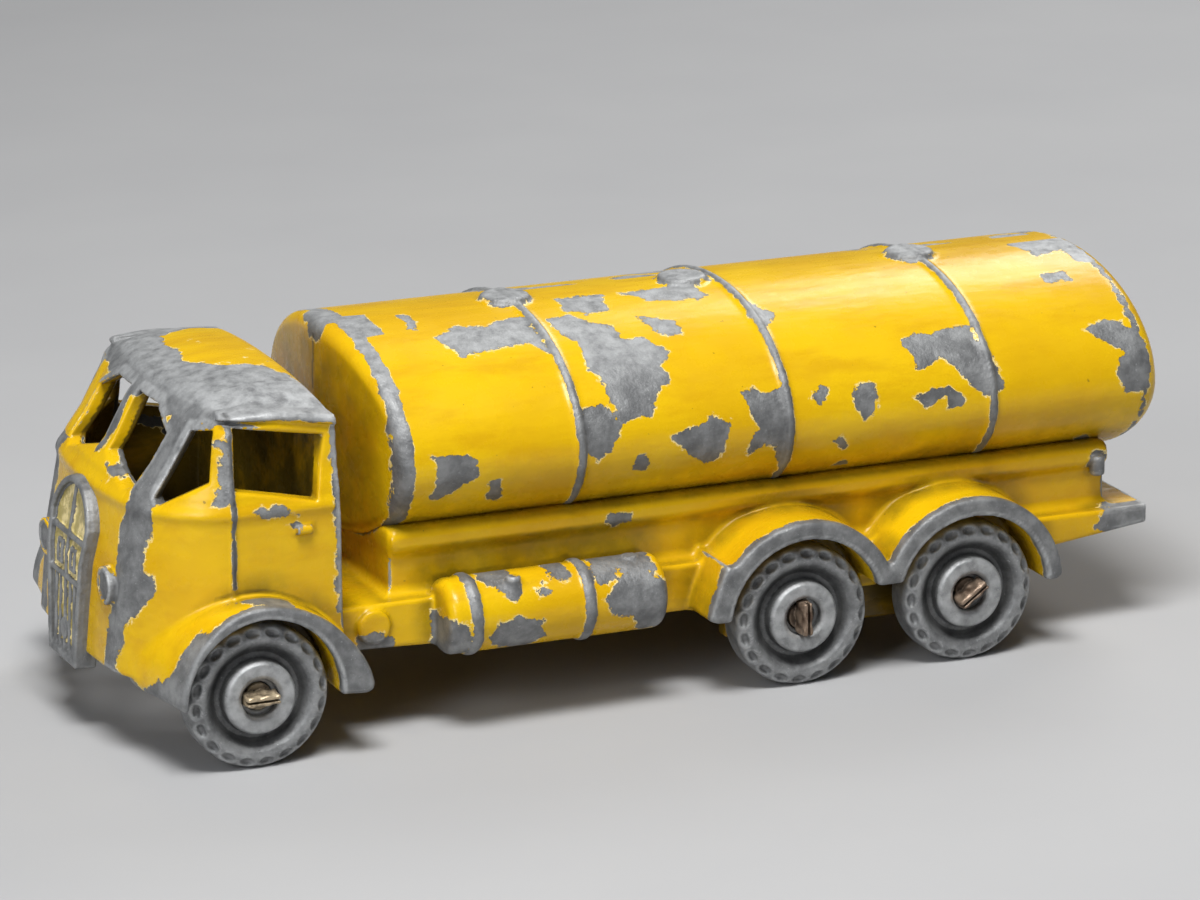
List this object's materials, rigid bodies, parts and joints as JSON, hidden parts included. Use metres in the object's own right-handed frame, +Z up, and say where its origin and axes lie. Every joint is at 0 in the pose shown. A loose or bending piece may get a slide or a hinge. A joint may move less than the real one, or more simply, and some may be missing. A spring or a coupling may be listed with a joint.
{
  "type": "model tank wagon",
  "caption": "Pocket-size die-cast toy road tanker lorry: forward-control cab, long oval tank on an open-bottomed chassis, mudguards, side tanks and free-rolling metal wheels on crimped axles.",
  "frame": {"origin": "on the ground below the middle of the overall length and width", "axes": "+X forward, out of the radiator; +Y to the lorry's left; +Z up"},
  "size_m": [0.0502, 0.0208, 0.0169],
  "materials": {
    "painted_casting": "gloss, heavily chipped to bare metal",
    "bare_zinc": "dull, as cast",
    "axle_steel": "tarnished"
  },
  "bodies": {
    "casting": {"cab_roof": "painted_casting", "cab_shell": "painted_casting", "chassis_bosses": "painted_casting", "chassis_deck": "painted_casting", "door_handles": "painted_casting", "drip_rails": "painted_casting", "filler_cap_front": "painted_casting", "filler_cap_middle": "painted_casting", "filler_cap_rear": "painted_casting", "front_mudguard_left": "painted_casting", "front_mudguard_right": "painted_casting", "headlamp_left": "painted_casting", "headlamp_right": "painted_casting", "radiator_grille": "painted_casting", "middle_mudguard_left": "painted_casting", "middle_mudguard_right": "painted_casting", "rear_mudguard_left": "painted_casting", "rear_mudguard_right": "painted_casting", "rear_platform": "painted_casting", "side_tank_left": "painted_casting", "side_tank_right": "painted_casting", "tail_lugs": "painted_casting", "tank_barrel": "painted_casting", "tank_cradle": "painted_casting", "tank_front_end": "painted_casting", "tank_rear_end": "painted_casting", "tank_rib_1": "painted_casting", "tank_rib_2": "painted_casting", "tank_rib_3": "painted_casting"},
    "front_axle_body": {"front_axle": "axle_steel"},
    "front_wheel_left_body": {"front_wheel_left": "bare_zinc"},
    "front_wheel_right_body": {"front_wheel_right": "bare_zinc"},
    "middle_axle_body": {"middle_axle": "axle_steel"},
    "middle_wheel_left_body": {"middle_wheel_left": "bare_zinc"},
    "middle_wheel_right_body": {"middle_wheel_right": "bare_zinc"},
    "rear_axle_body": {"rear_axle": "axle_steel"},
    "rear_wheel_left_body": {"rear_wheel_left": "bare_zinc"},
    "rear_wheel_right_body": {"rear_wheel_right": "bare_zinc"}
  },
  "joints": [
    {"name": "front_axle_turn", "type": "hinge", "parent": "casting", "child": "front_axle_body", "pos_m": [0.01939, 0, 0.0032], "axis": [0, 1, 0], "continuous": true},
    {"name": "front_wheel_left_spin", "type": "hinge", "parent": "front_axle_body", "child": "front_wheel_left_body", "pos_m": [0.01939, 0.00892, 0.0032], "axis": [0, 1, 0], "continuous": true},
    {"name": "front_wheel_right_spin", "type": "hinge", "parent": "front_axle_body", "child": "front_wheel_right_body", "pos_m": [0.01939, -0.00892, 0.0032], "axis": [0, 1, 0], "continuous": true},
    {"name": "middle_axle_turn", "type": "hinge", "parent": "casting", "child": "middle_axle_body", "pos_m": [-0.00625, 0, 0.0032], "axis": [0, 1, 0], "continuous": true},
    {"name": "middle_wheel_left_spin", "type": "hinge", "parent": "middle_axle_body", "child": "middle_wheel_left_body", "pos_m": [-0.00625, 0.00892, 0.0032], "axis": [0, 1, 0], "continuous": true},
    {"name": "middle_wheel_right_spin", "type": "hinge", "parent": "middle_axle_body", "child": "middle_wheel_right_body", "pos_m": [-0.00625, -0.00892, 0.0032], "axis": [0, 1, 0], "continuous": true},
    {"name": "rear_axle_turn", "type": "hinge", "parent": "casting", "child": "rear_axle_body", "pos_m": [-0.0145, 0, 0.0032], "axis": [0, 1, 0], "continuous": true},
    {"name": "rear_wheel_left_spin", "type": "hinge", "parent": "rear_axle_body", "child": "rear_wheel_left_body", "pos_m": [-0.0145, 0.00892, 0.0032], "axis": [0, 1, 0], "continuous": true},
    {"name": "rear_wheel_right_spin", "type": "hinge", "parent": "rear_axle_body", "child": "rear_wheel_right_body", "pos_m": [-0.0145, -0.00892, 0.0032], "axis": [0, 1, 0], "continuous": true}
  ]
}
